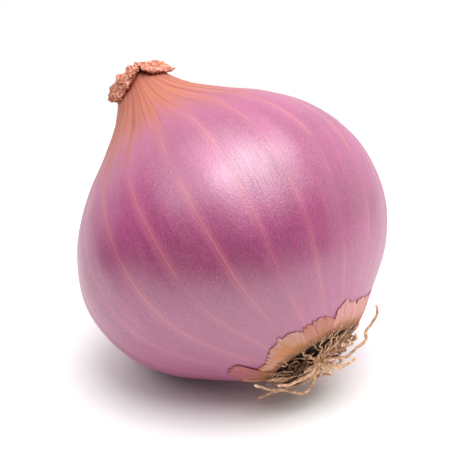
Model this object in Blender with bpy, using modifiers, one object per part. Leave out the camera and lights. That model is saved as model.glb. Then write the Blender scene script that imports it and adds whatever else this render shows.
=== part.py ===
"""A cured pink shallot lying on a small flat spot, neck up and root end down.

Every piece is modelled upright around the bulb's own axis, root end at the bottom, and hangs on one
empty that tilts the whole shallot into its lying attitude. World frame: +Z up, origin at the centre
of the flat spot, the root end towards +X and the neck towards -X. Angles around the axis start at the
upper side and grow towards +Y, so 180 degrees is the underside.
"""

import math

import bmesh
import bpy
from mathutils import Matrix, Vector

MM = 0.001

# ---- Driving dimensions ----
BULB_DIAMETER = 42.0 * MM
TILT = math.radians(42)  # rise of the bulb's axis above the floor, towards the neck
FLAT_DEPTH = 0.75 * MM  # how much of the belly the resting spot takes off
ROOT_LEAN = (2.4 * MM, -0.6 * MM)  # sideways bend of the root end off the straight axis
NECK_LEAN = (-0.1 * MM, 0.6 * MM)  # the same for the neck end
GAP = 0.32 * MM  # clearance between touching pieces
PLATE_RADIUS = 5.9 * MM
KNOT_RADIUS = 1.35 * MM
KNOT_HEIGHT = -1.2 * MM
ROOT_RADIUS = 0.27 * MM
MAT_ROOTS = 14  # short roots that run in from the plate's rim to the knot
FLAP_START = PLATE_RADIUS + 0.7 * MM
FLAP_THICKNESS = 0.38 * MM
FLAP_CURL = 0.25 * MM  # how far a flap's torn end stands off the bulb
TOOTH_DEPTH = 0.35 * MM
LEAF_THICKNESS = 0.75 * MM
LEAF_CRUMPLE = 0.16 * MM
STUB_RADIUS = 0.52 * MM
STUB_LENGTH = 1.1 * MM

# Half outline of the bulb, as (height above the root end, radius), in shares of its diameter
BULB_OUTLINE = (
    (0.012, 0.0),
    (0.011, 0.083),
    (0.013, 0.133),
    (0.020, 0.171),
    (0.042, 0.210),
    (0.098, 0.290),
    (0.193, 0.400),
    (0.312, 0.474),
    (0.490, 0.500),
    (0.645, 0.448),
    (0.764, 0.355),
    (0.860, 0.248),
    (0.955, 0.152),
    (1.030, 0.100),
    (1.066, 0.082),
    (1.074, 0.056),
    (1.076, 0.0),
)
BELLY_HEIGHT = 0.455 * BULB_DIAMETER  # where both bends begin
NECK_HEIGHT = BULB_OUTLINE[-1][0] * BULB_DIAMETER

# Underside of the root plate, rim first, as (share of its radius, height in mm)
PLATE_UNDERSIDE = ((1.0, -0.05), (0.86, -0.55), (0.6, -0.5), (0.3, -0.3), (0.0, -0.25))
# Course of a short root, as (share of the plate's radius, height of the plate there in mm,
# share of its sway to the side, share of its hump)
SHORT_ROUTE = ((0.97, -0.42, 0, 0), (0.8, -0.55, 1, 1), (0.58, -0.52, -1, 1), (0.36, -0.42, 0, 0))
# Section of a folded leaf end from its root to the turn of the fold, as (radius, height over the
# neck) in mm
LEAF_FOLD = ((0.9, 0.45), (2.2, 0.55), (3.5, 0.2), (4.1, -0.45))

# name, middle angle, half width in degrees, reach from the axis, number of teeth
SKIN_FLAPS = (
    ("flap_long_tongue", -106, 11, 11.0 * MM, 2),
    ("flap_lower_front", -79.5, 11.5, 8.9 * MM, 3),
    ("flap_cream_front", -53, 11, 9.9 * MM, 4),
    ("flap_middle_front", -24.5, 14, 9.5 * MM, 5),
    ("flap_upper", 6, 12.5, 9.9 * MM, 3),
    ("flap_upper_pointed", 34, 11.5, 10.4 * MM, 2),
    ("flap_far_upper", 62, 12.5, 9.0 * MM, 4),
    ("flap_far_long", 92, 13.5, 10.1 * MM, 3),
    ("flap_far_middle", 123, 13.5, 9.2 * MM, 4),
    ("flap_far_lower", 154, 13.5, 8.8 * MM, 3),
    ("flap_under", 184, 12.5, 9.3 * MM, 4),
    ("flap_under_front", 219, 18, 8.9 * MM, 5),
)
# name, middle angle, half width in degrees, how far it hangs down the neck, how far its tip flares
NECK_LEAVES = (
    ("neck_leaf_right", 16, 41, 1.3 * MM, 0.4 * MM),
    ("neck_leaf_front", -50, 21, 0.4 * MM, 0.3 * MM),
    ("neck_leaf_left", -108, 33, 1.4 * MM, 0.3 * MM),
    ("neck_leaf_under", -176, 31, 1.0 * MM, 0.4 * MM),
    ("neck_leaf_far", 105, 43, 0.7 * MM, 0.4 * MM),
)
# Stray roots, each as points of (distance out from the root end, radius, angle), in mm and degrees
STRAY_ROOTS = {
    "root_stray_far_curl": (
        (1.9, 2.6, 84), (2.3, 3.6, 78), (2.1, 5.0, 70), (1.8, 6.4, 63),
        (0.9, 7.4, 58), (0.3, 8.9, 49), (-0.3, 9.8, 46), (-1.0, 10.2, 43),
    ),
    "root_stray_short_hook": (
        (2.3, 0.9, -10), (2.9, 1.1, 20), (3.3, 2.0, 45), (3.4, 3.0, 54), (3.1, 4.1, 64),
    ),
    "root_stray_low_loop": (
        (2.0, 1.6, -165), (2.7, 2.2, -163), (3.5, 3.5, -156), (3.4, 4.4, -148),
        (2.7, 5.0, -137), (1.7, 6.3, -123), (0.9, 7.8, -111), (0.2, 9.3, -101),
    ),
    "root_stray_low_straight": (
        (2.1, 2.3, 168), (2.2, 3.2, -172), (2.0, 4.6, -157), (1.5, 6.3, -148),
        (1.1, 7.9, -147), (0.8, 9.4, -145),
    ),
    "root_stray_front": (
        (2.0, 1.9, -90), (2.2, 2.9, -97), (2.1, 4.3, -103), (1.9, 5.7, -104), (1.4, 6.8, -101),
    ),
    "root_stray_under": (
        (1.9, 2.2, 150), (2.3, 3.4, 154), (2.1, 5.0, 164), (1.4, 6.7, 170), (0.8, 8.0, 169),
    ),
    "root_stray_far": (
        (1.9, 2.2, 110), (2.4, 3.5, 114), (2.0, 5.2, 112), (1.2, 6.9, 118),
        (0.4, 8.5, 126), (-0.5, 9.7, 134),
    ),
    "root_stray_far_short": (
        (2.4, 1.2, 140), (3.0, 2.2, 128), (3.0, 3.5, 136), (2.4, 4.6, 146),
    ),
}
# Colour (linear RGB) and roughness of each finish
FINISHES = {
    "bulb_skin": ((0.52, 0.19, 0.33), 0.38),
    "dry_neck": ((0.42, 0.17, 0.12), 0.75),
    "dry_skin": ((0.68, 0.38, 0.28), 0.62),
    "root_plate": ((0.09, 0.045, 0.03), 0.9),
    "root_fibre": ((0.50, 0.33, 0.21), 0.8),
}


def smooth_path(points, steps):
    """Points along a centripetal Catmull-Rom curve through the given ones, steps to a span."""
    points = [Vector(point) for point in points]
    ends = (2 * points[0] - points[1], 2 * points[-1] - points[-2])
    padded = [ends[0], *points, ends[1]]
    path = []
    for p0, p1, p2, p3 in zip(padded, padded[1:], padded[2:], padded[3:]):
        t1 = math.sqrt((p1 - p0).length)
        t2 = t1 + math.sqrt((p2 - p1).length)
        t3 = t2 + math.sqrt((p3 - p2).length)
        for step in range(steps):
            t = t1 + (t2 - t1) * step / steps
            a1 = p0.lerp(p1, t / t1)
            a2 = p1.lerp(p2, (t - t1) / (t2 - t1))
            a3 = p2.lerp(p3, (t - t2) / (t3 - t2))
            b1 = a1.lerp(a2, t / t2)
            b2 = a2.lerp(a3, (t - t1) / (t3 - t1))
            path.append(b1.lerp(b2, (t - t1) / (t2 - t1)))
    path.append(points[-1])
    return path


OUTLINE = [BULB_DIAMETER * p for p in smooth_path([(r, 0, h) for h, r in BULB_OUTLINE], 3)]
ROOT_SIDE = [p for p in OUTLINE if p.z <= BELLY_HEIGHT]
NECK_SIDE = [p for p in OUTLINE[::-1] if p.z > BELLY_HEIGHT]


def lean(height):
    """Sideways bend of the bulb's centre line at this height above the root end."""
    if height < BELLY_HEIGHT:
        bend = Vector((*ROOT_LEAN, 0))
        share = (BELLY_HEIGHT - height) / BELLY_HEIGHT
    else:
        bend = Vector((*NECK_LEAN, 0))
        share = (height - BELLY_HEIGHT) / (NECK_HEIGHT - BELLY_HEIGHT)
    return bend * share**2


def place(radius, angle, height):
    """A point beside the bulb's bent axis: radius from it, angle around it, height above the root end."""
    return Vector((radius * math.cos(angle), radius * math.sin(angle), height)) + lean(height)


def on_root_side(radius, lift):
    """(radius, height) of the point this far off the bulb's lower skin, above its given radius."""
    for inner, outer in zip(ROOT_SIDE, ROOT_SIDE[1:]):
        if outer.x >= radius:
            break
    along = (outer - inner).normalized()
    spot = inner.lerp(outer, (radius - inner.x) / (outer.x - inner.x))
    return spot.x + lift * along.z, spot.z - lift * along.x


def neck_radius(height):
    """Radius of the bulb at this height on its neck side."""
    for upper, lower in zip(NECK_SIDE, NECK_SIDE[1:]):
        if lower.z <= height:
            break
    return lower.lerp(upper, (height - lower.z) / (upper.z - lower.z)).x


def make_material(name):
    colour, roughness = FINISHES[name]
    material = bpy.data.materials.new(name)
    material.use_nodes = True
    shader = material.node_tree.nodes["Principled BSDF"]
    shader.inputs["Base Color"].default_value = (*colour, 1)
    shader.inputs["Roughness"].default_value = roughness
    material.diffuse_color = (*colour, 1)
    return material


def add_object(name, data, finish):
    """A new object in the shallot's collection, upright around the axis, with its own material."""
    obj = bpy.data.objects.new(name, data)
    obj.parent = axis
    data.materials.append(materials[finish])
    shallot.objects.link(obj)
    return obj


def turned(name, profile, finish, steps):
    """A solid turned from a profile of (radius, 0, height) points, then bent with the bulb's axis."""
    guide = bpy.data.meshes.new(name + "_profile")
    guide.from_pydata(profile, [(i, i + 1) for i in range(len(profile) - 1)], [])
    spun = bpy.data.objects.new(name + "_profile", guide)
    helpers.objects.link(spun)
    screw = spun.modifiers.new("Turn", "SCREW")
    screw.steps = steps
    screw.render_steps = steps
    screw.use_merge_vertices = True
    screw.merge_threshold = 0.00001
    screw.use_smooth_shade = True
    bpy.context.view_layer.update()
    graph = bpy.context.evaluated_depsgraph_get()
    mesh = bpy.data.meshes.new_from_object(spun.evaluated_get(graph))
    bpy.data.objects.remove(spun)
    mesh.name = name
    for vertex in mesh.vertices:
        vertex.co += lean(vertex.co.z)
    return add_object(name, mesh, finish)


def sheet(name, finish, columns, rows, shape, thickness):
    """A thickened skin: shape(across, along) places each point of a grid, its outer face outwards."""
    mesh = bpy.data.meshes.new(name)
    bm = bmesh.new()
    bmesh.ops.create_grid(bm, x_segments=columns, y_segments=rows, size=1)
    for vertex in bm.verts:
        vertex.co = shape(vertex.co.x, (vertex.co.y + 1) / 2)
    bm.normal_update()
    bm.faces.ensure_lookup_table()
    middle = bm.faces[len(bm.faces) // 2]
    outwards = middle.calc_center_median() - Vector((0, 0, BELLY_HEIGHT))
    if middle.normal.dot(outwards) < 0:
        bmesh.ops.reverse_faces(bm, faces=bm.faces)
    bm.to_mesh(mesh)
    bm.free()
    mesh.shade_smooth()
    obj = add_object(name, mesh, finish)
    solidify = obj.modifiers.new("Thickness", "SOLIDIFY")
    solidify.thickness = thickness
    solidify.offset = 1


def strand(name, points, finish):
    """A round root through points of (radius, angle, height)."""
    path = smooth_path([place(*point) for point in points], 2)
    curve = bpy.data.curves.new(name, "CURVE")
    curve.dimensions = "3D"
    curve.bevel_depth = ROOT_RADIUS
    curve.bevel_resolution = 1
    curve.use_fill_caps = True
    spline = curve.splines.new("POLY")
    spline.points.add(len(path) - 1)
    for point, spot in zip(spline.points, path):
        point.co = (*spot, 1)
    add_object(name, curve, finish)


def add_bulb():
    """The one-piece bulb, with its belly cut flat where it rests."""
    bulb = turned("bulb", OUTLINE[::-1], "bulb_skin", 48)
    bpy.ops.mesh.primitive_cube_add(size=1, location=(0, 0, -0.5 * BULB_DIAMETER))
    floor = bpy.context.object
    floor.name = "floor_cutter"
    floor.scale = (2 * BULB_DIAMETER, 2 * BULB_DIAMETER, BULB_DIAMETER)
    floor.hide_render = True
    floor.display_type = "WIRE"
    for collection in list(floor.users_collection):
        collection.objects.unlink(floor)
    helpers.objects.link(floor)
    cut = bulb.modifiers.new("Flat spot", "BOOLEAN")
    cut.operation = "DIFFERENCE"
    cut.solver = "EXACT"
    cut.object = floor


def add_skin_flap(name, middle, half_width, reach, teeth):
    """A torn end of the dry outer skin: it starts beside the root plate and lies up the bulb."""

    def shape(across, along):
        tooth = TOOTH_DEPTH * (round((across + 1) * teeth) % 2)
        edge = reach - 0.18 * (reach - FLAP_START) * across**2 - tooth
        width = half_width * (0.86 + 0.14 * along)
        off_skin = GAP + FLAP_CURL * along**2
        radius, height = on_root_side(FLAP_START + (edge - FLAP_START) * along, off_skin)
        return place(radius, math.radians(middle + width * across), height)

    sheet(name, "dry_skin", 2 * teeth, 4, shape, FLAP_THICKNESS)


def add_neck_leaf(name, middle, half_width, hang, flare):
    """A dry leaf end folded over the neck: out from the middle, over the edge and down outside."""
    fold = [(radius * MM, 0, NECK_HEIGHT + height * MM) for radius, height in LEAF_FOLD]
    low = fold[-1][2] - hang
    fold.append((neck_radius(low) + 2 * GAP + flare, 0, low))
    path = smooth_path(fold, 2)

    def shape(across, along):
        spot = path[round(along * (len(path) - 1))]
        crumple = LEAF_CRUMPLE * math.sin(7 * across + middle) * along
        ragged = (0.7 * MM * across**2 - 0.25 * MM * math.cos(9 * across)) * max(0, along - 0.5)
        width = math.radians(half_width * (1 - 0.26 * (1 - min(1, 2 * along)) ** 2 - 0.16 * along**3))
        return place(spot.x + crumple, math.radians(middle) + width * across, spot.z + ragged)

    sheet(name, "dry_neck", 6, len(path) - 1, shape, LEAF_THICKNESS)


def add_neck_stub():
    """The dry middle of the neck, which the folded leaf ends ring."""
    outline = ((0, 1), (0.67, 0.86), (1, 0.45), (0.8, 0), (0, 0))
    low = NECK_HEIGHT + GAP
    profile = [(STUB_RADIUS * share, 0, low + STUB_LENGTH * rise) for share, rise in outline]
    turned("neck_stub", profile, "dry_neck", 12)


def add_root_plate():
    """The dished woody disc that the roots grow from, clear of the bulb's root end all over."""
    back = [on_root_side(share * PLATE_RADIUS, GAP) for share in (0.33, 0.66, 1)]
    profile = [(0, 0, BULB_OUTLINE[1][0] * BULB_DIAMETER - GAP)]
    profile += [(radius, 0, height) for radius, height in back]
    profile += [(share * PLATE_RADIUS, 0, height * MM) for share, height in PLATE_UNDERSIDE]
    turned("root_plate", profile, "root_plate", 28)


def add_root_knot():
    """The lump in the middle where the short roots run together."""
    mesh = bpy.data.meshes.new("root_knot")
    bm = bmesh.new()
    bmesh.ops.create_icosphere(bm, subdivisions=2, radius=KNOT_RADIUS)
    for vertex in bm.verts:
        x, y, z = vertex.co / KNOT_RADIUS
        lump = 1 + 0.1 * math.sin(3.5 * x) * math.cos(3.1 * y)
        vertex.co = KNOT_RADIUS * lump * Vector((x, y, 0.42 * z)) + place(0, 0, KNOT_HEIGHT)
    bm.to_mesh(mesh)
    bm.free()
    mesh.shade_smooth()
    add_object("root_knot", mesh, "root_fibre")


def add_mat_root(number):
    """A short root that rises off the plate's rim and runs in to the knot."""
    angle = 2 * math.pi * number / MAT_ROOTS + 0.05 * math.sin(5 * number)
    sway = 0.07 * math.sin(3 * number + 1)
    hump = 0.15 + 0.12 * math.sin(2 * number)
    off_plate = ROOT_RADIUS + GAP
    points = [
        (share * PLATE_RADIUS, angle + side * sway, (low - rise * hump) * MM - off_plate)
        for share, low, side, rise in SHORT_ROUTE
    ]
    strand(f"root_short_{number + 1:02d}", points, "root_fibre")


def resting_place():
    """Where the empty goes, so that the flat spot is centred on the origin at floor level."""
    turn = axis.rotation_euler.to_matrix()
    belly = [turn @ place(point.x, math.pi, point.z) for point in ROOT_SIDE]
    lowest = min(belly, key=lambda point: point.z)
    return Vector((0, 0, -FLAT_DEPTH)) - lowest


for old in list(bpy.data.objects):
    bpy.data.objects.remove(old)
shallot = bpy.data.collections.new("pink_shallot")
helpers = bpy.data.collections.new("helpers")
for group in (shallot, helpers):
    bpy.context.scene.collection.children.link(group)
materials = {finish: make_material(finish) for finish in FINISHES}
axis = bpy.data.objects.new("bulb_axis", None)
axis.rotation_euler = (0, TILT - math.pi / 2, 0)
axis.location = resting_place()
helpers.objects.link(axis)

add_bulb()
add_root_plate()
add_root_knot()
add_neck_stub()
for leaf in NECK_LEAVES:
    add_neck_leaf(*leaf)
for flap in SKIN_FLAPS:
    add_skin_flap(*flap)
for number in range(MAT_ROOTS):
    add_mat_root(number)
for name, route in STRAY_ROOTS.items():
    points = [(radius * MM, math.radians(angle), -out * MM) for out, radius, angle in route]
    strand(name, points, "root_fibre")
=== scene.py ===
"""A cured pink shallot lying on a white studio floor: every visible surface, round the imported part.

The pieces are modelled upright round the bulb's own axis, root end at the bottom and neck at the top,
with angles counted from the side that ends up uppermost. LYING then lays each one into the attitude in
which the shallot rests. Lengths are metres; small ones are written as a number of MM.
"""
import math
import random

import bpy
from mathutils import Matrix, Vector, noise


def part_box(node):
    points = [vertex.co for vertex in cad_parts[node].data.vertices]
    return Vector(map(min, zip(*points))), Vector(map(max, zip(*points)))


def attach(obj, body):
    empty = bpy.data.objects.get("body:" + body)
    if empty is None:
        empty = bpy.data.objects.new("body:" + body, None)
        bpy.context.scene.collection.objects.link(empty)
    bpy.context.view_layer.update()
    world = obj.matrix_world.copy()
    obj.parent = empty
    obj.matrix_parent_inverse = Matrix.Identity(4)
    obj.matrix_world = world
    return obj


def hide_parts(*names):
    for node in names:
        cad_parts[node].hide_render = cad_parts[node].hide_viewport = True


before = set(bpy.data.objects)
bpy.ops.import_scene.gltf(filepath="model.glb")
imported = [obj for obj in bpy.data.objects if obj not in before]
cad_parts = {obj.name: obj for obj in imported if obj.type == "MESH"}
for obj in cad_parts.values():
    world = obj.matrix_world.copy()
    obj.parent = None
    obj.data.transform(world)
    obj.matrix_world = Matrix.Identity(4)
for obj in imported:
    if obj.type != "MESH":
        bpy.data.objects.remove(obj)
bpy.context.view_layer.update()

MM = 0.001
MERGE_GAP = 0.001 * MM  # points nearer to each other than this are one

# ---- The bulb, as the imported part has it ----
BULB_LOW, BULB_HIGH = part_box("bulb")
DIAMETER = BULB_HIGH.y - BULB_LOW.y
TILT = math.radians(42)  # rise of the bulb's axis above the floor, towards the neck
ROOT_LEAN = Vector((2.4, -0.6, 0)) * MM  # sideways bend of the root end off the straight axis
NECK_LEAN = Vector((-0.1, 0.6, 0)) * MM
# Half outline of the bulb, as (height above the root end, radius), in shares of its diameter
BULB_OUTLINE = (
    (0.012, 0.0), (0.011, 0.083), (0.013, 0.133), (0.020, 0.171), (0.042, 0.210), (0.098, 0.290),
    (0.193, 0.400), (0.312, 0.474), (0.490, 0.500), (0.645, 0.448), (0.764, 0.355), (0.860, 0.248),
    (0.955, 0.152), (1.030, 0.100), (1.066, 0.082), (1.074, 0.056), (1.076, 0.0),
)
BELLY_HEIGHT = 0.455 * DIAMETER  # where both bends begin
NECK_HEIGHT = BULB_OUTLINE[-1][0] * DIAMETER
VEINS = 22
LINES_PER_VEIN = 1.5  # dark lines at the neck, to each vein
FIRST_VEIN = math.radians(4)
COLUMNS = 16 * VEINS
PLATE_RADIUS = 6.1 * MM

# ---- Camera ----
CAMERA_TURN = math.radians(47.1)
CAMERA_RISE = math.radians(22.5)
CAMERA_DISTANCE = 158.6 * MM
CAMERA_LENS = 93.1
CAMERA_SHIFT = (0.0013, 0.0125)
BACKDROP_TURN = CAMERA_TURN + math.radians(165)  # towards the pale backdrop, counted as CAMERA_TURN is


def smooth_path(points, steps):
    """Points along a centripetal Catmull-Rom curve through the given ones, steps to a span."""
    points = [Vector(point) for point in points]
    padded = [2 * points[0] - points[1], *points, 2 * points[-1] - points[-2]]
    path = []
    for p0, p1, p2, p3 in zip(padded, padded[1:], padded[2:], padded[3:]):
        t1 = math.sqrt((p1 - p0).length)
        t2 = t1 + math.sqrt((p2 - p1).length)
        t3 = t2 + math.sqrt((p3 - p2).length)
        for step in range(steps):
            t = t1 + (t2 - t1) * step / steps
            a1 = p0.lerp(p1, t / t1)
            a2 = p1.lerp(p2, (t - t1) / (t2 - t1))
            a3 = p2.lerp(p3, (t - t2) / (t3 - t2))
            b1 = a1.lerp(a2, t / t2)
            b2 = a2.lerp(a3, (t - t1) / (t3 - t1))
            path.append(b1.lerp(b2, (t - t1) / (t2 - t1)))
    path.append(points[-1])
    return path


def outline(steps):
    """The bulb's half outline as smooth points (radius, 0, height)."""
    return [DIAMETER * point for point in smooth_path([(r, 0, h) for h, r in BULB_OUTLINE], steps)]


OUTLINE = outline(3)
ROOT_SIDE = [point for point in OUTLINE if point.z <= BELLY_HEIGHT]
NECK_SIDE = [point for point in OUTLINE if point.z > BELLY_HEIGHT]


def beside_axis(radius, angle, height):
    """A point beside the bulb's bent axis: radius from it, angle round it, height above the root end."""
    if height < BELLY_HEIGHT:
        bend = ROOT_LEAN * ((BELLY_HEIGHT - height) / BELLY_HEIGHT) ** 2
    else:
        bend = NECK_LEAN * ((height - BELLY_HEIGHT) / (NECK_HEIGHT - BELLY_HEIGHT)) ** 2
    return Vector((radius * math.cos(angle), radius * math.sin(angle), height)) + bend


def lying_attitude():
    """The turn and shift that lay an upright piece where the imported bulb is."""
    turn = Matrix.Rotation(TILT - math.pi / 2, 4, "Y")
    angles = [math.radians(7.5 * step) for step in range(48)]
    spots = [turn @ beside_axis(p.x, angle, p.z) for p in OUTLINE for angle in angles]
    corner = Vector([max(spot[i] for spot in spots) for i in range(3)])
    return Matrix.Translation(BULB_HIGH - corner) @ turn


LYING = lying_attitude()


def between(points, wanted, axis):
    """The point of a chain where its coordinate on this axis (0 radius, 2 height) has this value."""
    for start, end in zip(points, points[1:]):
        if min(start[axis], end[axis]) <= wanted <= max(start[axis], end[axis]):
            break
    return start.lerp(end, (wanted - start[axis]) / (end[axis] - start[axis]))


def on_root_side(radius, lift):
    """(radius, height) of the point this far off the lower skin, over the skin's given radius."""
    spot = between(ROOT_SIDE, radius, 0)
    ahead = between(ROOT_SIDE, radius + 0.1 * MM, 0)
    along = (ahead - spot).normalized()
    return spot.x + lift * along.z, spot.z - lift * along.x


def ease(value, low, high):
    """0 below low, 1 above high, smooth in between."""
    share = min(1, max(0, (value - low) / (high - low)))
    return share * share * (3 - 2 * share)


def rough(point, size, seed=0):
    """Even noise between about -1 and 1 with lumps of this size."""
    return noise.noise(Vector(point) / size + Vector((seed * 7.3, seed * 3.1, seed * 5.7)))


# ---------------------------------------------------------------- materials


class Wiring:
    """Adds nodes to one node tree and joins them up."""

    def __init__(self, tree):
        self.tree = tree

    def node(self, kind, **settings):
        """A new shader node of this kind, with its settings."""
        node = self.tree.nodes.new("ShaderNode" + kind)
        for name, value in settings.items():
            setattr(node, name, value)
        return node

    def feed(self, socket, source):
        """Joins a socket to an output, or sets it to a plain value."""
        if isinstance(source, bpy.types.NodeSocket):
            self.tree.links.new(source, socket)
        else:
            socket.default_value = source

    def maths(self, operation, *values):
        """One operation on numbers."""
        node = self.node("Math", operation=operation)
        for socket, value in zip(node.inputs, values):
            self.feed(socket, value)
        return node.outputs[0]

    def product(self, first, *others):
        """All the numbers multiplied together."""
        for value in others:
            first = self.maths("MULTIPLY", first, value)
        return first

    def vector_maths(self, operation, *vectors):
        """One operation on vectors; its outputs, of which only one is in use."""
        node = self.node("VectorMath", operation=operation)
        for socket, vector in zip(node.inputs, vectors):
            self.feed(socket, vector)
        return node.outputs

    def split(self, vector):
        """The X, Y and Z of a vector."""
        node = self.node("SeparateXYZ")
        self.feed(node.inputs[0], vector)
        return node.outputs

    def noise(self, vector, scale, detail):
        """Noise between 0 and 1."""
        node = self.node("TexNoise")
        self.feed(node.inputs["Vector"], vector)
        self.feed(node.inputs["Scale"], scale)
        self.feed(node.inputs["Detail"], detail)
        return node.outputs["Fac"]

    def spread(self, value, low, high, to_low=0.0, to_high=1.0):
        """Value spread smoothly from the range low to high over another one."""
        node = self.node("MapRange", interpolation_type="SMOOTHSTEP")
        for socket, source in zip(node.inputs, (value, low, high, to_low, to_high)):
            self.feed(socket, source)
        return node.outputs[0]

    def swing(self, value, width):
        """Noise between 0 and 1 as a swing of this width to both sides of 0."""
        return self.maths("MULTIPLY", self.maths("SUBTRACT", value, 0.5), width)

    def on_line(self, distance, half_width, core=0.0):
        """1 in the core of a line, falling smoothly to 0 at its half width."""
        return self.maths("SUBTRACT", 1.0, self.spread(distance, core, half_width))

    def mix(self, share, first, second):
        """Second colour over the first, by the given share."""
        node = self.node("Mix", data_type="RGBA")
        for index, source in ((0, share), (6, first), (7, second)):
            colour = (*source, 1) if isinstance(source, tuple) else source
            self.feed(node.inputs[index], colour)
        return node.outputs[2]

    def group(self, tree, **values):
        """A shared effect placed in this material with its own values."""
        node = self.node("Group", node_tree=tree)
        for name, value in values.items():
            self.feed(node.inputs[name], value)
        return node.outputs[0]


class Finish(Wiring):
    """A material with its Principled shader."""

    def __init__(self, name, **plain):
        self.material = bpy.data.materials.new(name)
        self.material.use_nodes = True
        super().__init__(self.material.node_tree)
        self.shader = self.tree.nodes["Principled BSDF"]
        for socket, value in plain.items():
            self.shader.inputs[socket.replace("_", " ")].default_value = value
        self.uv = self.node("UVMap").outputs["UV"]
        self.place = self.node("TexCoord").outputs["Object"]

    def streaks(self, across, along, detail):
        """Streaks that run along this skin."""
        return self.group(STREAKS, Skin=self.uv, Across=across, Along=along, Detail=detail)

    def grain(self, fineness, detail):
        """Even grain with this many grains to a metre."""
        return self.group(GRAIN, Fineness=fineness, Detail=detail)

    def dress(self, colour, roughness, height, depth):
        """Feeds the shader: its colour, its roughness, and a relief of this depth in metres."""
        self.feed(self.shader.inputs["Base Color"], colour)
        self.feed(self.shader.inputs["Roughness"], roughness)
        bump = self.node("Bump")
        bump.inputs["Distance"].default_value = depth
        self.feed(bump.inputs["Height"], height)
        self.feed(self.shader.inputs["Normal"], bump.outputs["Normal"])
        return self.material


def shared_effect(name, inputs, output):
    """An empty node group with named number or vector inputs and one number output."""
    tree = bpy.data.node_groups.new(name, "ShaderNodeTree")
    for title, kind in inputs:
        tree.interface.new_socket(title, in_out="INPUT", socket_type=kind)
    tree.interface.new_socket(output, in_out="OUTPUT", socket_type="NodeSocketFloat")
    wiring = Wiring(tree)
    entry = tree.nodes.new("NodeGroupInput")
    exit_node = tree.nodes.new("NodeGroupOutput")
    return wiring, entry.outputs, exit_node.inputs[0]


def streaks_effect():
    """Streaks along a skin: fine across it, long down it, and without a seam once round the bulb."""
    inputs = (
        ("Skin", "NodeSocketVector"), ("Across", "NodeSocketFloat"), ("Along", "NodeSocketFloat"),
        ("Detail", "NodeSocketFloat"),
    )
    wiring, given, result = shared_effect("streaks", inputs, "Streaks")
    skin = wiring.split(given["Skin"])
    angle = wiring.maths("MULTIPLY", skin["X"], 2 * math.pi)
    radius = wiring.maths("DIVIDE", given["Across"], 2 * math.pi)
    joined = wiring.node("CombineXYZ")
    for index, turn in enumerate(("COSINE", "SINE")):
        side = wiring.maths("MULTIPLY", wiring.maths(turn, angle), radius)
        wiring.feed(joined.inputs[index], side)
    wiring.feed(joined.inputs[2], wiring.maths("MULTIPLY", skin["Y"], given["Along"]))
    wiring.feed(result, wiring.noise(joined.outputs[0], 1.0, given["Detail"]))
    return wiring.tree


def grain_effect():
    """Even grain over any piece; Fineness is its number of grains to a metre."""
    inputs = (("Fineness", "NodeSocketFloat"), ("Detail", "NodeSocketFloat"))
    wiring, given, result = shared_effect("grain", inputs, "Grain")
    place = wiring.node("TexCoord").outputs["Object"]
    wiring.feed(result, wiring.noise(place, given["Fineness"], given["Detail"]))
    return wiring.tree


STREAKS = streaks_effect()
GRAIN = grain_effect()
BULB_MIDDLE = LYING @ beside_axis(0, 0, BELLY_HEIGHT)
# Middle of the painted shade, a deeper wine band across the side of the bulb that faces the camera
PAINTED_SHADE_MIDDLE = BULB_MIDDLE + Vector((12.5, -15.5, 3)) * MM
PAINTED_SHADE_FALL = (56, 56, 130)  # how fast the painted shade fades along x, y and z, to a metre


def living_colour(skin, along, fibres, bands, grain):
    """Clouded pink with fibres, scratches and grain: darkened by a painted shade across the side that
    faces the camera, pale at the root end and deeper towards the neck.
    """
    clouds = skin.noise(skin.place, 85.0, 3.0)
    patches = skin.noise(skin.place, 130.0, 2.0)
    body = skin.mix(skin.spread(bands, 0.35, 0.65), (0.47, 0.060, 0.23), (0.37, 0.041, 0.17))
    body = skin.mix(skin.spread(clouds, 0.42, 0.6, 0.0, 0.5), body, (0.25, 0.023, 0.095))
    off_painted_shade = skin.vector_maths("SUBTRACT", skin.place, PAINTED_SHADE_MIDDLE)["Vector"]
    scaled = skin.vector_maths("MULTIPLY", off_painted_shade, PAINTED_SHADE_FALL)["Vector"]
    far_off = skin.vector_maths("LENGTH", scaled)["Value"]
    painted_shade = skin.maths("ADD", far_off, skin.maths("MULTIPLY", clouds, 0.8))
    # painted shade: a deeper wine band across the side of the bulb that faces the camera
    body = skin.mix(skin.spread(painted_shade, 0.5, 1.5, 0.7, 0.0), body, (0.24, 0.02, 0.085))
    body = skin.mix(skin.spread(fibres, 0.3, 0.7, 0.0, 0.18), body, (0.48, 0.15, 0.25))
    scratched = skin.product(skin.spread(fibres, 0.5, 0.66), skin.spread(patches, 0.45, 0.6),
                             skin.spread(along, 0.4, 0.6, 1.0, 0.15), 0.6)
    body = skin.mix(scratched, body, (0.17, 0.022, 0.095))
    body = skin.mix(skin.spread(grain, 0.35, 0.55, 0.48, 0.0), body, (0.26, 0.035, 0.11))
    body = skin.mix(skin.spread(grain, 0.5, 0.7, 0.0, 0.3), body, (0.58, 0.18, 0.34))
    body = skin.mix(skin.spread(along, 0.03, 0.3, 0.35, 0.0), body, (0.52, 0.16, 0.28))
    return skin.mix(skin.spread(along, 0.54, 0.7, 0.0, 0.5), body, (0.34, 0.028, 0.12))


def dryness(skin, along, bands, aside):
    """How dry the skin is, 0 to 1: dry at the neck, with a ragged edge that dips along the veins."""
    near_vein = skin.spread(aside, 0.0, 0.4, 0.05, 0.0)
    reach = skin.maths("ADD", skin.maths("ADD", along, skin.swing(bands, 0.22)), near_vein)
    return skin.spread(reach, 0.65, 0.88)


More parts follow.
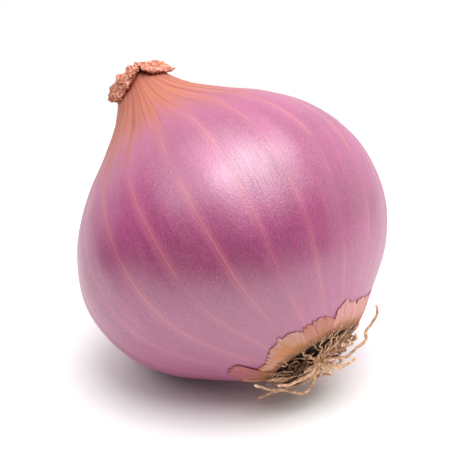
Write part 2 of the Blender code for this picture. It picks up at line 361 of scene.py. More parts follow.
def with_veins(skin, body, along, count, dried):
    """The colour with its veins, each pale in a soft halo and shaded along one side; and that shade."""
    fading = skin.streaks(16.0, 5.0, 1.0)
    strength = skin.spread(fading, 0.35, 0.6, 0.2, 1.0)
    living = skin.maths("SUBTRACT", 1.0, dried)
    aside = skin.maths("PINGPONG", count, 0.5)
    halo = skin.on_line(aside, skin.spread(along, 0.55, 0.9, 0.2, 0.3))
    body = skin.mix(skin.product(halo, living, strength, 0.48), body, (0.55, 0.125, 0.20))
    vein = skin.on_line(aside, skin.spread(along, 0.6, 1.0, 0.03, 0.07))
    body = skin.mix(skin.product(vein, living, strength, 0.42), body, (0.66, 0.24, 0.30))
    beside = skin.maths("PINGPONG", skin.maths("ADD", count, 0.022), 0.5)
    shade = skin.on_line(beside, skin.spread(along, 0.6, 1.0, 0.018, 0.06), 0.003)
    body = skin.mix(skin.product(shade, strength, 0.5), body, (0.27, 0.03, 0.05))
    return body, shade


def with_neck_lines(skin, body, along, count, bands):
    """The colour with the thin dark lines that run together at the neck."""
    lines = skin.streaks(42.0, 2.0, 1.0)
    drifting = skin.maths("ADD", skin.maths("MULTIPLY", count, LINES_PER_VEIN), skin.swing(lines, 0.9))
    off_line = skin.maths("PINGPONG", drifting, 0.5)
    line = skin.on_line(off_line, skin.spread(along, 0.8, 1.0, 0.13, 0.21))
    near_neck = skin.spread(along, 0.64, 0.86)
    uneven = skin.spread(bands, 0.36, 0.58, 0.55, 1.0)
    return skin.mix(skin.product(line, near_neck, uneven), body, (0.26, 0.009, 0.005))


def bulb_skin():
    """The living skin: satin pink with fine fibres and thin veins, turning to dry salmon at the neck."""
    skin = Finish("bulb_skin", Specular_IOR_Level=1.0, IOR=1.64)
    spot = skin.split(skin.uv)
    along = spot["Y"]
    fibres = skin.streaks(560.0, 16.0, 2.0)
    bands = skin.streaks(70.0, 2.5, 3.0)
    grain = skin.streaks(760.0, 200.0, 1.0)
    count = skin.maths("MULTIPLY", spot["X"], float(VEINS))

    body = living_colour(skin, along, fibres, bands, grain)
    dried = dryness(skin, along, bands, skin.maths("PINGPONG", count, 0.5))
    dry = skin.mix(skin.spread(bands, 0.35, 0.65), (0.49, 0.110, 0.038), (0.42, 0.080, 0.03))
    body = skin.mix(dried, body, dry)
    body, shade = with_veins(skin, body, along, count, dried)
    body = with_neck_lines(skin, body, along, count, bands)
    # painted shade: darker brown just under the dry leaf ends at the neck
    body = skin.mix(skin.spread(along, 0.88, 0.99, 0.0, 0.5), body, (0.36, 0.075, 0.04))

    roughness = skin.spread(fibres, 0.3, 0.7, 0.34, 0.42)
    roughness = skin.maths("ADD", roughness, skin.maths("MULTIPLY", dried, 0.32))
    height = skin.maths("ADD", skin.maths("MULTIPLY", fibres, 0.25), grain)
    height = skin.maths("SUBTRACT", height, skin.maths("MULTIPLY", shade, 0.3))
    return skin.dress(body, roughness, height, 0.022 * MM)


def dry_neck():
    """Leathery dried leaf ends: brown salmon, warty all over, with painted shade in the hollows between
    the warts and painted highlights on their tops.
    """
    leaf = Finish("dry_neck", Specular_IOR_Level=0.4)
    warts = leaf.grain(2800.0, 3.0)
    blotches = leaf.grain(480.0, 2.0)
    fine = leaf.grain(5200.0, 2.0)
    colour = leaf.mix(leaf.spread(blotches, 0.38, 0.62), (0.66, 0.245, 0.155), (0.54, 0.165, 0.10))
    # painted highlight: lighter on the tops of the warts' relief
    colour = leaf.mix(leaf.spread(warts, 0.5, 0.66, 0.0, 0.8), colour, (0.82, 0.46, 0.33))
    # painted shade: darker in the hollows of the warts' relief
    colour = leaf.mix(leaf.spread(warts, 0.34, 0.49, 0.8, 0.0), colour, (0.20, 0.048, 0.03))
    height = leaf.maths("ADD", warts, leaf.maths("MULTIPLY", fine, 0.3))
    return leaf.dress(colour, leaf.spread(warts, 0.35, 0.65, 0.75, 0.55), height, 0.09 * MM)


def dry_skin(name, tip, middle, stain):
    """Papery torn skin: pleated, its outer end and middle in their own colours, brown at the roots."""
    skin = Finish(name, Specular_IOR_Level=0.4)
    along = skin.split(skin.uv)["Y"]
    pleats = skin.streaks(34.0, 1.2, 3.0)
    fibres = skin.streaks(130.0, 2.0, 2.0)
    blotches = skin.grain(420.0, 2.0)
    reach = skin.maths("ADD", along, skin.swing(pleats, 0.6))
    colour = skin.mix(skin.spread(reach, 0.35, 0.9), middle, tip)
    colour = skin.mix(skin.spread(fibres, 0.4, 0.66, 0.0, 0.3), colour, (0.80, 0.52, 0.40))
    # painted shade: darker in the hollows of the pleats' relief
    colour = skin.mix(skin.spread(pleats, 0.34, 0.46, 0.4, 0.0), colour, (0.42, 0.12, 0.08))
    colour = skin.mix(skin.spread(blotches, 0.5, 0.66, 0.0, stain), colour, (0.62, 0.19, 0.035))
    colour = skin.mix(skin.spread(reach, 0.1, 0.58, 0.85, 0.0), colour, (0.42, 0.17, 0.06))
    burnt = skin.maths("ADD", along, skin.swing(fibres, 1.1))
    colour = skin.mix(skin.spread(burnt, -0.05, 0.24, 0.85, 0.0), colour, (0.15, 0.062, 0.028))
    height = skin.maths("ADD", pleats, skin.maths("MULTIPLY", fibres, 0.4))
    return skin.dress(colour, skin.spread(fibres, 0.3, 0.7, 0.5, 0.68), height, 0.06 * MM)


def root_plate():
    """Dark, dead, corky wood with paler crumbs."""
    wood = Finish("root_plate", Specular_IOR_Level=0.25)
    crumbs = wood.grain(2200.0, 4.0)
    colour = wood.mix(wood.spread(crumbs, 0.45, 0.7), (0.02, 0.011, 0.008), (0.17, 0.08, 0.038))
    return wood.dress(colour, 0.9, crumbs, 0.2 * MM)


def root_fibre(name, pale, deep):
    """Wiry dried root: scaly, pale on its ridges, deeper in patches."""
    root = Finish(name, Specular_IOR_Level=0.3)
    scales = root.grain(2600.0, 3.0)
    patches = root.grain(700.0, 2.0)
    colour = root.mix(root.spread(scales, 0.36, 0.62), deep, pale)
    colour = root.mix(root.spread(patches, 0.48, 0.66, 0.0, 0.5), colour, (0.24, 0.10, 0.045))
    return root.dress(colour, 0.75, scales, 0.05 * MM)


FINISHES = {
    "bulb_skin": bulb_skin(),
    "dry_neck": dry_neck(),
    "pink_skin": dry_skin("pink_skin", (0.38, 0.075, 0.12), (0.35, 0.075, 0.095), 0.1),
    "cream_skin": dry_skin("cream_skin", (0.57, 0.275, 0.22), (0.57, 0.275, 0.165), 0.6),
    "peach_skin": dry_skin("peach_skin", (0.52, 0.185, 0.145), (0.50, 0.185, 0.11), 0.35),
    "rose_skin": dry_skin("rose_skin", (0.73, 0.33, 0.32), (0.70, 0.31, 0.26), 0.15),
    "root_plate": root_plate(),
    "root_fibre": root_fibre("root_fibre", (0.90, 0.60, 0.40), (0.58, 0.32, 0.17)),
    "fine_fibre": root_fibre("fine_fibre", (0.84, 0.53, 0.34), (0.50, 0.25, 0.12)),
    # near-black roots whose colour is painted shade for the gaps between the pale strands
    "shade_fibre": root_fibre("shade_fibre", (0.13, 0.055, 0.027), (0.045, 0.019, 0.01)),
}


# ---------------------------------------------------------------- modelling


def start_fresh():
    """Leaves every object unselected, so that an operator acts on the new piece alone."""
    bpy.ops.object.select_all(action="DESELECT")


def edit_all():
    """Opens the active piece for editing, with all of it selected."""
    bpy.ops.object.mode_set(mode="EDIT")
    bpy.ops.mesh.select_all(action="SELECT")


def close_up(piece):
    """Merges doubled points and turns every face outwards."""
    start_fresh()
    piece.select_set(True)
    bpy.context.view_layer.objects.active = piece
    edit_all()
    bpy.ops.mesh.remove_doubles(threshold=MERGE_GAP)
    bpy.ops.mesh.normals_make_consistent(inside=False)
    bpy.ops.object.mode_set(mode="OBJECT")


def settle(piece, name, finish, slot, *nodes):
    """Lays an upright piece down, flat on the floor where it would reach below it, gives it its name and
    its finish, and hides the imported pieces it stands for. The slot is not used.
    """
    piece.name = name
    piece.data.name = name
    piece.data.transform(LYING)
    for point in piece.data.vertices:
        point.co.z = max(point.co.z, 0)
    piece.data.update()
    piece.data.materials.clear()
    piece.data.materials.append(FINISHES[finish])
    bpy.ops.object.shade_smooth()
    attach(piece, "root")
    if nodes:
        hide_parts(*nodes)


def spun(profile, steps):
    """A closed piece turned from a half outline of (radius, 0, height) points."""
    start_fresh()
    bpy.ops.mesh.primitive_plane_add(size=MM)
    piece = bpy.context.object
    edit_all()
    bpy.ops.mesh.merge(type="CENTER")
    bpy.ops.transform.translate(value=profile[0])
    for start, end in zip(profile, profile[1:]):
        bpy.ops.mesh.extrude_region_move(TRANSFORM_OT_translate={"value": end - start})
    bpy.ops.mesh.select_all(action="SELECT")
    bpy.ops.mesh.spin(steps=steps, angle=2 * math.pi, center=(0, 0, 0), axis=(0, 0, 1))
    bpy.ops.object.mode_set(mode="OBJECT")
    close_up(piece)
    return piece


def vein_drift(angle, height):
    """How far the veins wander round the bulb on their way from the root end to the neck."""
    at_root = ease(height, 0.55 * NECK_HEIGHT, 0.05 * NECK_HEIGHT - MM)
    at_neck = ease(height, 0.55 * NECK_HEIGHT, 0.95 * NECK_HEIGHT)
    wander = 1.6 * rough((3 * math.cos(angle), 3 * math.sin(angle), height / (9 * MM)), 1, 4)
    return math.radians(-4.5 * at_root - 6 * at_neck * math.sin(angle + math.radians(38)) + wander)


def map_skin(mesh):
    """Skin map of the bulb: across counts once round from the first vein, along runs root to neck."""
    layer = mesh.uv_layers.new(name="Skin")
    for face in mesh.polygons:
        middle = math.atan2(face.center.y, face.center.x) % (2 * math.pi)
        for loop in face.loop_indices:
            spot = mesh.vertices[mesh.loops[loop].vertex_index].co
            angle = middle
            if math.hypot(spot.x, spot.y) > 0.01 * MM:
                angle = math.atan2(spot.y, spot.x)
                angle += 2 * math.pi * round((middle - angle) / (2 * math.pi))
            around = angle - FIRST_VEIN - vein_drift(angle, spot.z)
            layer.data[loop].uv = (around / (2 * math.pi), spot.z / NECK_HEIGHT)


def add_bulb():
    """The bulb in one skin, pleated where it is drawn together at the neck."""
    bulb = spun(outline(6), COLUMNS)
    for layer in list(bulb.data.uv_layers):
        bulb.data.uv_layers.remove(layer)
    map_skin(bulb.data)
    for point in bulb.data.vertices:
        x, y, height = point.co
        radius = math.hypot(x, y)
        angle = math.atan2(y, x)
        count = VEINS * (angle - FIRST_VEIN - vein_drift(angle, height)) / (2 * math.pi)
        aside = abs(count - round(count))
        half_aside = abs(2 * count - round(2 * count)) / 2
        own = 0.75 + 0.4 * rough((2.7 * math.cos(angle), 2.7 * math.sin(angle), 0), 1, 2)
        drawn = ease(height, 0.66 * NECK_HEIGHT, 0.99 * NECK_HEIGHT) ** 1.5
        groove = (1 - ease(aside, 0, 0.11)) + 0.5 * (1 - ease(half_aside, 0, 0.08))
        radius_cut = 0.018 * MM * own * drawn * groove * ease(radius, 0.5 * MM, 2.5 * MM)
        swell = 0.10 * MM * rough((x, y, height), 9 * MM, 1)
        swell -= 0.045 * MM * own * math.cos(2 * math.pi * count) * ease(radius, 5 * MM, 16 * MM)
        swell *= ease(height, 3 * MM, 10 * MM)
        point.co = beside_axis(radius - radius_cut + swell, angle, height)
    settle(bulb, "bulb_skin", "bulb_skin", "bulb_skin", "bulb")


def leaf_sheet(columns, rows, shape, thickness):
    """A sheet with a wall: shape(across -1 to 1, along 0 to 1) places the points of a flat grid."""
    start_fresh()
    bpy.ops.mesh.primitive_grid_add(x_subdivisions=columns, y_subdivisions=rows, size=2)
    piece = bpy.context.object
    for point in piece.data.vertices:
        point.co = shape(point.co.x, (point.co.y + 1) / 2)
    piece.data.update()
    middle = piece.data.polygons[len(piece.data.polygons) // 2]
    outwards = middle.center - Vector((0, 0, BELLY_HEIGHT))
    if middle.normal.dot(outwards) < 0:
        piece.data.flip_normals()
    wall = piece.modifiers.new("Wall", "SOLIDIFY")
    wall.thickness = thickness
    wall.offset = 1
    bpy.ops.object.modifier_apply(modifier=wall.name)
    return piece


# name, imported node, middle angle and half width in degrees, hang below the fold, how far its end
# stands off the neck, spikes as (place across it, length, share of their way that is outwards)
NECK_LEAVES = (
    ("leaf_end_right", "neck_leaf_right", 13, 44, 1.95 * MM, 0.05 * MM,
     ((0.74, 0.4 * MM, 0.9), (0.1, 0.3 * MM, 0.2))),
    ("leaf_end_front", "neck_leaf_front", -52, 28, 1.0 * MM, 0.1 * MM, ((-0.5, 0.35 * MM, 0.5),)),
    ("leaf_end_left", "neck_leaf_left", -80, 42, 1.95 * MM, 0.05 * MM,
     ((-0.1, 0.4 * MM, 0.1), (0.5, 0.4 * MM, 0.3))),
    ("leaf_end_under", "neck_leaf_under", -170, 50, 0.9 * MM, 0.0,
     ((-0.3, 0.5 * MM, 0.5), (0.85, 0.7 * MM, 0.9))),
    ("leaf_end_far", "neck_leaf_far", 105, 50, 0.8 * MM, 0.1 * MM,
     ((-0.5, 0.5 * MM, 0.6), (0.4, 0.8 * MM, 0.7))),
)
# Section of a folded leaf end, as (radius, height over the neck) in mm, before it hangs down
LEAF_FOLD = ((0.4, 0.4), (1.8, 0.5), (2.9, 0.45), (3.5, 0.1))
LEAF_WALL = 0.26 * MM
EDGE_BEADS = 60


def wrinkle(leaf, seed):
    """Raises warts and creases all over a leaf end."""
    normals = [point.normal.copy() for point in leaf.data.vertices]
    for point, normal in zip(leaf.data.vertices, normals):
        wart = 0.06 * (1 - 2 * abs(rough(point.co, 0.33 * MM, seed)))
        wart += 0.05 * rough(point.co, 0.17 * MM, seed)
        crease = 0.16 * (1 - ease(abs(rough(point.co, 1.5 * MM, seed + 3)), 0, 0.14))
        point.co += normal * (wart + crease) * MM


def edge_beads(shape, draw):
    """Small beads along the torn edge of a leaf end of this shape."""
    beads = []
    for number in range(EDGE_BEADS):
        across = -1 + 2 * (number + draw.uniform(-0.3, 0.3)) / (EDGE_BEADS - 1)
        spot = shape(max(-1, min(1, across)), 1)
        outwards = Vector((spot.x, spot.y, 0)).normalized()
        start_fresh()
        radius = draw.uniform(0.07, 0.15) * MM
        spot = spot + draw.uniform(0.05, 0.4) * MM * outwards
        bpy.ops.mesh.primitive_ico_sphere_add(subdivisions=2, radius=radius, location=spot)
        beads.append(bpy.context.object)
    return beads


def add_neck_leaf(name, node, middle, half_width, hang, flare, spikes):
    """A dried leaf end folded over the neck: crumpled, warty, with a torn and beaded edge."""
    seed = middle / 10
    fold = [(radius * MM, 0, NECK_HEIGHT + rise * MM) for radius, rise in LEAF_FOLD]
    low = fold[-1][2] - 0.3 * MM - hang
    fold.append((between(NECK_SIDE, low, 2).x + 0.12 * MM + flare, 0, low))
    path = smooth_path(fold, 13)

    def shape(across, along):
        spot = path[round(along * (len(path) - 1))]
        torn = 0.5 * rough((across, 0, 0), 0.3, seed) + 0.3 * rough((across, 0, 0), 0.09, seed)
        drop = (1.3 * across**2 - 0.6 * torn) * MM * ease(along, 0.4, 1)
        out = 0
        for where, length, outwards in spikes:
            reach = length * max(0, 1 - abs(across - where) / 0.13) ** 1.4 * ease(along, 0.72, 1)
            drop -= reach * (1 - outwards)
            out += reach * outwards
        width = half_width * (1 - 0.2 * (1 - min(1, 2 * along)) ** 2 - 0.1 * along**3)
        side = 2.5 * rough((along, across, 0), 0.3, seed)
        wave = 0.24 * MM * rough((2 * across, 0.5 * along, 0), 0.6, seed + 9)
        lump = 0.07 * MM * rough((spot.x, spot.z, across * 3 * MM), 0.9 * MM, seed)
        return beside_axis(spot.x + wave * ease(along, 0.1, 0.6) + lump + out,
                           math.radians(middle + width * across + side), spot.z + drop + 0.6 * lump)

    leaf = leaf_sheet(64, len(path) - 1, shape, LEAF_WALL)
    wrinkle(leaf, seed)
    leaf = join([leaf, *edge_beads(shape, random.Random(node))])
    settle(leaf, name, "dry_neck", "dry_neck", node)


# Half outline of the neck's dry middle, as (radius in mm, share of its height)
STUB_OUTLINE = ((0, 0), (1.5, 0.05), (1.3, 0.5), (0.9, 0.8), (0.45, 0.97), (0, 1))


def add_neck_stub():
    """The dry middle of the neck between the leaf ends."""
    low = NECK_HEIGHT - 0.2 * MM
    top = NECK_HEIGHT + 1.2 * MM
    profile = [Vector((radius * MM, 0, low + share * (top - low))) for radius, share in STUB_OUTLINE]
    stub = spun(smooth_path(profile, 5), 40)
    for point in stub.data.vertices:
        x, y, height = point.co
        angle = math.atan2(y, x)
        pleat = 1 + 0.16 * math.sin(7 * angle) + 0.25 * rough(point.co, 0.6 * MM, 6)
        point.co = beside_axis(math.hypot(x, y) * pleat, angle, height)
    settle(stub, "neck_middle", "dry_neck", "dry_neck", "neck_stub")


# name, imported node, finish, middle angle and half width in degrees, radius in mm that its torn edge
# reaches at five places across it, number of torn lobes
SKIN_FLAPS = (
    ("skin_long_tongue", "flap_long_tongue", "pink_skin", -106, 14, (9.3, 10.3, 10.7, 11.1, 10.6), 1),
    ("skin_lower_front", "flap_lower_front", "cream_skin", -79, 18, (8.1, 8.2, 8.3, 9.0, 9.4), 3),
    ("skin_cream_front", "flap_cream_front", "cream_skin", -53, 16, (9.2, 9.6, 10.1, 9.8, 8.9), 3),
    ("skin_middle_front", "flap_middle_front", "peach_skin", -24, 17, (8.8, 9.5, 9.4, 9.2, 8.3), 3),
    ("skin_upper", "flap_upper", "rose_skin", 5, 14, (8.2, 9.5, 10.1, 9.7, 9.4), 2),
    ("skin_upper_pointed", "flap_upper_pointed", "rose_skin", 30, 17, (9.4, 9.7, 9.8, 10.2, 11.1), 1),
    ("skin_far_upper", "flap_far_upper", "peach_skin", 62, 18, (9.6, 9.6, 9.3, 9.0, 8.6), 3),
    ("skin_far_long", "flap_far_long", "pink_skin", 92, 17, (9.2, 9.8, 10.3, 10.0, 9.4), 2),
    ("skin_far_middle", "flap_far_middle", "cream_skin", 123, 17, (8.8, 9.3, 9.5, 9.2, 8.8), 3),
    ("skin_far_lower", "flap_far_lower", "peach_skin", 154, 17, (8.4, 9.0, 9.0, 9.4, 9.0), 3),
    ("skin_under", "flap_under", "rose_skin", 184, 16, (9.0, 9.3, 9.6, 9.3, 8.8), 2),
    ("skin_under_front", "flap_under_front", "peach_skin", 219, 22, (8.6, 9.1, 9.0, 9.3, 9.0), 4),
)
SKIN_WALL = 0.06 * MM


def add_skin_flap(name, node, finish, middle, half_width, reach, lobes):
    """A torn end of the papery outer skin, lightly pleated, lying up the bulb from under the roots."""
    seed = middle / 10

    def shape(across, along):
        place = (across + 1) / 2 * (len(reach) - 1)
        before = min(int(place), len(reach) - 2)
        bow = reach[before] + (reach[before + 1] - reach[before]) * ease(place - before, 0, 1)
        uneven = 0.8 * rough((across, 0, 0), 0.45, seed)
        lobe = abs(math.sin(math.pi * (lobes * (across + 1) / 2 + uneven)))
        tooth = abs(math.sin(math.pi * (1.3 * lobes * (across + 1) + 2 + 3 * uneven)))
        jag = 0.25 + 0.3 * (1 + rough((across, 0, 0), 0.3, seed + 4))
        torn = 0.4 * (lobe**0.5 - 1) + jag * (tooth**0.7 - 1)
        torn = torn + 0.1 * rough((across, 0, 0), 0.05, seed) + 0.2
        edge = (bow + torn) * MM
        fray = 0.5 * rough((across, 0, 0), 0.1, seed + 8) + 0.4 * rough((across, 0, 0), 0.04, seed)
        start = PLATE_RADIUS + fray * MM
        pleat = rough((across, 0.3 * along, 0), 0.16, seed + 2)
        lift = 0.05 + 0.3 * (1 - ease(along, 0, 0.4)) + 0.05 * (1 + pleat) * (1 - 0.6 * along**4)
        lift += 0.08 * (1 + rough((across, along, 0), 0.8, seed + 5)) * along * (1 - along**4)
        radius, height = on_root_side(start + (edge - start) * along, lift * MM)
        side = 1.5 * rough((across, along, 0), 0.5, seed + 7)
        angle = middle + side + half_width * across * (0.84 + 0.16 * along)
        return beside_axis(radius, math.radians(angle), height)

    flap = leaf_sheet(140, 26, shape, SKIN_WALL)
    settle(flap, name, finish, "dry_skin", node)


def over_plate(radius, lift):
    """Height of a root that lies this far over the root plate and the skins round it."""
    skin = on_root_side(max(radius, 0.2 * MM), 0)[1]
    return skin - (0.6 * MM - 0.25 * MM * ease(radius, 5 * MM, 8 * MM)) - lift


# Half outline of the root plate, inner side first, as (radius, height) in mm
PLATE_OUTLINE = (
    (0, 0.44), (5.0, 0.62), (6.4, 0.85), (6.6, 0.8), (6.2, 0.62), (5.4, 0.45), (4.2, 0.32),
    (2.6, 0.2), (1.2, -0.1), (0, -0.6),
)


def add_root_plate():
    """The dished woody disc, pitted and crumbly, with its rim under the skins."""
    profile = [Vector((radius * MM, 0, height * MM)) for radius, height in PLATE_OUTLINE]
    plate = spun(smooth_path(profile, 9), 200)
    for point in plate.data.vertices:
        x, y, height = point.co
        if height < 0.4 * MM:
            lump = rough(point.co, 0.8 * MM, 3) + 0.7 * rough(point.co, 0.35 * MM, 4)
            height = min(height - 0.34 * MM * lump, 0.44 * MM)
        point.co = beside_axis(math.hypot(x, y), math.atan2(y, x), height)
    settle(plate, "root_plate_wood", "root_plate", "root_plate", "root_plate")


def strand(points, thick, thin, seed, wave=0.1 * MM):
    """One root through upright points, wavy, tapering from thick to thin, as a closed mesh."""
    path = smooth_path(points, 5)
    start_fresh()
    bpy.ops.curve.primitive_nurbs_path_add()
    curve = bpy.context.object.data
    curve.splines.clear()
    curve.bevel_depth = 1
    curve.bevel_resolution = 2
    curve.use_fill_caps = True
    spline = curve.splines.new("POLY")
    spline.points.add(len(path) - 1)
    for number, (point, spot) in enumerate(zip(spline.points, path)):
        share = number / (len(path) - 1)
        sway = Vector([rough(spot, 1.6 * MM, seed + i) + 0.5 * rough(spot, 0.6 * MM, seed + i)
                       for i in range(3)])
        point.co = (*(spot + wave * ease(share, 0, 0.15) * sway), 1)
        knobs = 1 + 0.22 * rough((number, seed, 0), 1.7)
        point.radius = (thick + (thin - thick) * share) * knobs
    bpy.ops.object.convert(target="MESH")
    piece = bpy.context.object
    close_up(piece)
    return piece


def join(pieces):
    """Several meshes as one piece."""
    start_fresh()
    for piece in pieces:
        piece.select_set(True)
    bpy.context.view_layer.objects.active = pieces[0]
    bpy.ops.object.join()
    return pieces[0]


# Stray roots, each as points of (distance out from the root end, radius, angle), in mm and degrees
STRAY_ROOTS = {
    "far_curl": (
        (1.9, 2.6, 84), (2.3, 3.6, 78), (2.1, 5.0, 70), (1.8, 6.4, 63),
        (0.9, 7.4, 58), (0.3, 8.9, 49), (-0.3, 9.8, 46), (-1.0, 10.2, 43),
    ),
    "short_hook": (
        (2.3, 0.9, -10), (2.9, 1.1, 20), (3.3, 2.0, 45), (3.4, 3.0, 54), (3.1, 4.1, 64),
    ),
    "low_loop": (
        (2.0, 1.6, -165), (2.7, 2.2, -163), (3.5, 3.5, -156), (3.4, 4.4, -148),
        (2.7, 5.0, -137), (1.7, 6.3, -123), (0.9, 7.8, -111), (0.2, 9.3, -101),
    ),
    "low_straight": (
        (2.1, 2.3, 168), (2.2, 3.2, -172), (2.0, 4.6, -157), (1.5, 6.3, -148),
        (1.1, 7.9, -147), (0.8, 9.4, -145),
    ),
    "front": ((2.0, 1.9, -90), (2.2, 2.9, -97), (2.1, 4.3, -103), (1.9, 5.7, -104), (1.4, 6.8, -101)),
    "under": ((1.9, 2.2, 150), (2.3, 3.4, 154), (2.1, 5.0, 164), (1.4, 6.7, 170), (0.8, 8.0, 169)),
    "far": (
        (1.9, 2.2, 110), (2.4, 3.5, 114), (2.0, 5.2, 112), (1.2, 6.9, 118),
        (0.4, 8.5, 126), (-0.5, 9.7, 134),
    ),
    "far_short": ((2.4, 1.2, 140), (3.0, 2.2, 128), (3.0, 3.5, 136), (2.4, 4.6, 146)),
}


# A root that runs in from the rim, as (radius, height over the plate) in mm
SHORT_ROOT = ((0.35, 0.9), (1.2, 0.75), (2.4, 0.5), (3.8, 0.3), (5.2, 0.1), (6.5, 0.0))
# How many roots there are of each kind
SHORT_ROOTS = 14
WEB_SPOKES = 20
WEB_LINKS = 18
SHADED_ROOTS = 90
LONG_STRANDS = 28
CURLS = 22


def add_stray_roots():
    """The loose roots that stand off the rest, each starting down in the knot."""
    for seed, (name, route) in enumerate(STRAY_ROOTS.items()):
        points = [beside_axis(radius * MM, math.radians(angle), -out * MM) for out, radius, angle in route]
        knot = beside_axis(0.5 * MM, math.radians(route[0][2]), -1.1 * MM)
        root = strand([knot, *points], 0.23 * MM, 0.17 * MM, 40 + seed, 0.16 * MM)
        settle(root, "loose_root_" + name, "root_fibre", "root_fibre", "root_stray_" + name)


def add_short_roots():
    """The short roots that run in from the plate's rim and meet in the knot."""
    for number in range(SHORT_ROOTS):
        middle = 2 * math.pi * number / SHORT_ROOTS + 0.05 * math.sin(5 * number)
        points = []
        for radius, lift in SHORT_ROOT:
            turn = 0.2 * rough((radius, number, 0), 1.3, 8)
            points.append(beside_axis(radius * MM, middle + turn, over_plate(radius * MM, lift * MM)))
        root = strand(points, 0.16 * MM, 0.08 * MM, 60 + number, 0.24 * MM)
        title = f"{number + 1:02d}"
        settle(root, "rim_root_" + title, "root_fibre", "root_fibre", "root_short_" + title)


def root_line(start, end, middle, swing, lift, thick, seed, wave=0.14 * MM):
    """A root run over the plate from one radius to another, swinging round as it goes, as far over the
    plate in mm as lift says for each share of its way.
    """
    points = []
    for step in range(6):
        share = step / 5
        radius = start + (end - start) * share
        turn = 0.2 * rough((radius, seed, 0), 1.2, 12)
        height = over_plate(radius * MM, lift(share) * MM)
        points.append(beside_axis(radius * MM, middle + swing * share + turn, height))
    return strand(points, thick, 0.6 * thick, seed, wave)


def add_root_web(draw):
    """The finest roots: long spokes over the plate and short links between them."""
    web = []
    for number in range(WEB_SPOKES):
        middle = math.radians(-105 + 250 * (number + draw.uniform(-0.4, 0.4)) / WEB_SPOKES)
        start, end = draw.uniform(0.4, 1.6), draw.uniform(5.2, 7.4)
        top = draw.uniform(0.5, 1.0)
        swing, thick = draw.uniform(-0.3, 0.3), draw.uniform(0.06, 0.11) * MM
        web.append(root_line(start, end, middle, swing, lambda s: top * (1 - s) - 0.1 * s, thick,
                             90 + number, 0.24 * MM))
    for number in range(WEB_LINKS):
        middle = draw.uniform(-2.0, 2.6)
        start = draw.uniform(1.6, 5.2)
        top = draw.uniform(-0.1, 0.4)
        end = start + draw.uniform(0.6, 1.6)
        swing, thick = draw.uniform(-0.5, 0.5), draw.uniform(0.05, 0.09) * MM
        web.append(root_line(start, end, middle, swing, lambda s: top, thick, 150 + number, 0.24 * MM))
    settle(join(web), "fine_root_web", "fine_fibre", "root_fibre")


def add_shaded_roots(draw):
    """Dark roots matted over the lower side of the plate, near-black as painted shade in the gaps behind
    the pale strands.
    """
    dark_filler = []
    for number in range(SHADED_ROOTS):
        middle = math.radians(draw.uniform(85, 290))
        start = draw.uniform(0.5, 4.4)
        top = draw.uniform(-0.1, 0.5 + ease(middle, 2.4, 2.8))
        end = start + draw.uniform(1.2, 2.6)
        swing, thick = draw.uniform(-0.7, 0.7), draw.uniform(0.13, 0.22) * MM
        dark_filler.append(root_line(start, end, middle, swing, lambda s: top, thick, 330 + number, 0.3 * MM))
    settle(join(dark_filler), "shaded_root_mat", "shade_fibre", "root_fibre")


def add_long_strands(draw):
    """The long pale roots that run out over the old ones."""
    strands = []
    for number in range(LONG_STRANDS):
        middle = math.radians(draw.uniform(110, 262))
        top = draw.uniform(0.5, 2.1)
        start, end = draw.uniform(0.3, 1.5), draw.uniform(4.8, 7.4)
        swing, thick = draw.uniform(-0.3, 0.4), draw.uniform(0.12, 0.2) * MM
        strands.append(root_line(start, end, middle, swing, lambda s: top * (1 - 0.7 * s * s), thick,
                                 210 + number))
    settle(join(strands), "long_root_strands", "root_fibre", "root_fibre")


def add_curled_roots(draw):
    """The broken roots that have dried into curls."""
    curls = []
    for number in range(CURLS):
        middle = math.radians(draw.choice((draw.uniform(35, 75), draw.uniform(60, 200))))
        radius = draw.uniform(2.5, 6.0)
        size = draw.uniform(0.2, 0.42) * MM
        centre = beside_axis(radius * MM, middle, over_plate(radius * MM, draw.uniform(0.4, 1.2) * MM))
        side = Vector((draw.uniform(-1, 1), draw.uniform(-1, 1), draw.uniform(-0.4, 0.4))).normalized()
        other = side.orthogonal().normalized()
        first = draw.uniform(0, 6)
        points = []
        for step in range(8):
            turn = first + 0.75 * step
            ring = math.cos(turn) * other.cross(side) + math.sin(turn) * other
            points.append(centre + size * (ring + (0.2 * step - 0.7) * side))
        curls.append(strand(points, draw.uniform(0.13, 0.2) * MM, 0.1 * MM, 260 + number))
    settle(join(curls), "curled_roots", "root_fibre", "root_fibre")


def add_root_mat():
    """The many finer roots, layer after layer, all from one run of random draws."""
    draw = random.Random(11)
    add_root_web(draw)
    add_shaded_roots(draw)
    add_long_strands(draw)
    add_curled_roots(draw)


def add_root_knot():
    """The lump in the middle where the roots run together."""
    start_fresh()
    bpy.ops.mesh.primitive_ico_sphere_add(subdivisions=5, radius=0.85 * MM)
    knot = bpy.context.object
    for point in knot.data.vertices:
        lump = 1 + 0.35 * rough(point.co, 0.6 * MM, 2) + 0.15 * rough(point.co, 0.25 * MM, 3)
        x, y, z = point.co * lump
        point.co = Vector((x, y, 0.75 * z)) + beside_axis(0, 0, -1.0 * MM)
    settle(knot, "root_knot_lump", "root_fibre", "root_fibre", "root_knot")


# ---------------------------------------------------------------- studio


def add_camera():
    """The camera, in front of the shallot and a little above it, aimed at the middle of the bulb."""
    flat = math.cos(CAMERA_RISE)
    back = Vector((math.sin(CAMERA_TURN) * flat, -math.cos(CAMERA_TURN) * flat, math.sin(CAMERA_RISE)))
    bpy.ops.object.camera_add()
    camera = bpy.context.object
    camera.location = BULB_MIDDLE + CAMERA_DISTANCE * back
    camera.rotation_euler = (-back).to_track_quat("-Z", "Y").to_euler()
    camera.data.lens = CAMERA_LENS
    camera.data.sensor_width = 36
    camera.data.shift_x, camera.data.shift_y = CAMERA_SHIFT
    camera.data.clip_start = 0.01
    bpy.context.scene.camera = camera


# Strength, width in degrees, and lean towards the camera and towards its right hand
SOFT_SUNS = ((1.8, 72, 0.22, -0.3), (2.6, 50, 0.24, 0.23))


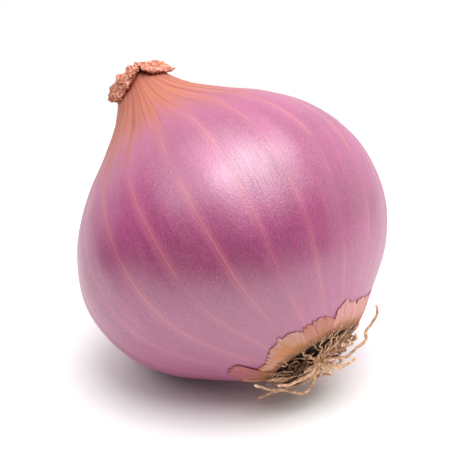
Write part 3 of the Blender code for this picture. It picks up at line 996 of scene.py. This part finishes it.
def add_soft_suns():
    """Two very wide soft suns high up on the camera's side, one leaning left and one right."""
    toward = Vector((math.sin(CAMERA_TURN), -math.cos(CAMERA_TURN), 0))
    right = Vector((-toward.y, toward.x, 0))
    for energy, width, forward, aside in SOFT_SUNS:
        bpy.ops.object.light_add(type="SUN")
        light = bpy.context.object
        place = forward * toward + aside * right + Vector((0, 0, 1))
        light.rotation_euler = place.to_track_quat("Z", "Y").to_euler()
        light.data.energy = energy
        light.data.angle = math.radians(width)


def add_surroundings():
    """A studio: a pale backdrop behind, a little to the right, dim round the camera, and white in view."""
    world = bpy.data.worlds.new("studio")
    bpy.context.scene.world = world
    world.use_nodes = True
    wiring = Wiring(world.node_tree)
    outwards = wiring.node("TexCoord").outputs["Generated"]
    backdrop_side = (math.sin(BACKDROP_TURN), -math.cos(BACKDROP_TURN), 0)
    turned = wiring.vector_maths("DOT_PRODUCT", outwards, backdrop_side)["Value"]
    backdrop = wiring.spread(turned, -0.15, 0.35)
    light = wiring.mix(backdrop, (0.08, 0.08, 0.08), (1.1, 1.1, 1.1))
    seen = wiring.node("LightPath").outputs["Is Camera Ray"]
    background = world.node_tree.nodes["Background"]
    wiring.feed(background.inputs["Color"], wiring.mix(seen, light, (1, 1, 1)))


FLOOR_SIZE = 220 * MM
FLOOR_ASIDE = 30 * MM  # from the origin, towards the camera's right
FLOOR_DROP = 0.02 * MM  # below the bulb's flat spot, so that the two faces stay apart


def add_floor():
    """The white tabletop, square to the camera."""
    start_fresh()
    middle = (FLOOR_ASIDE * math.cos(CAMERA_TURN), FLOOR_ASIDE * math.sin(CAMERA_TURN), -FLOOR_DROP)
    bpy.ops.mesh.primitive_plane_add(size=FLOOR_SIZE, rotation=(0, 0, CAMERA_TURN), location=middle)
    floor = bpy.context.object
    floor.name = "floor"
    white = bpy.data.materials.new("white_floor")
    white.use_nodes = True
    shader = white.node_tree.nodes["Principled BSDF"]
    shader.inputs["Base Color"].default_value = (0.8, 0.8, 0.8, 1)
    shader.inputs["Roughness"].default_value = 1
    shader.inputs["Specular IOR Level"].default_value = 0
    # The floor glows a little as well: painted light that lifts the shadow on it.
    shader.inputs["Emission Color"].default_value = (1, 1, 1, 1)
    shader.inputs["Emission Strength"].default_value = 0.02
    floor.data.materials.append(white)


bpy.context.scene.view_settings.view_transform = "Standard"
add_camera()
add_soft_suns()
add_surroundings()
add_floor()
add_bulb()
for leaf in NECK_LEAVES:
    add_neck_leaf(*leaf)
add_neck_stub()
for flap in SKIN_FLAPS:
    add_skin_flap(*flap)
add_root_plate()
add_root_knot()
add_short_roots()
add_root_mat()
add_stray_roots()
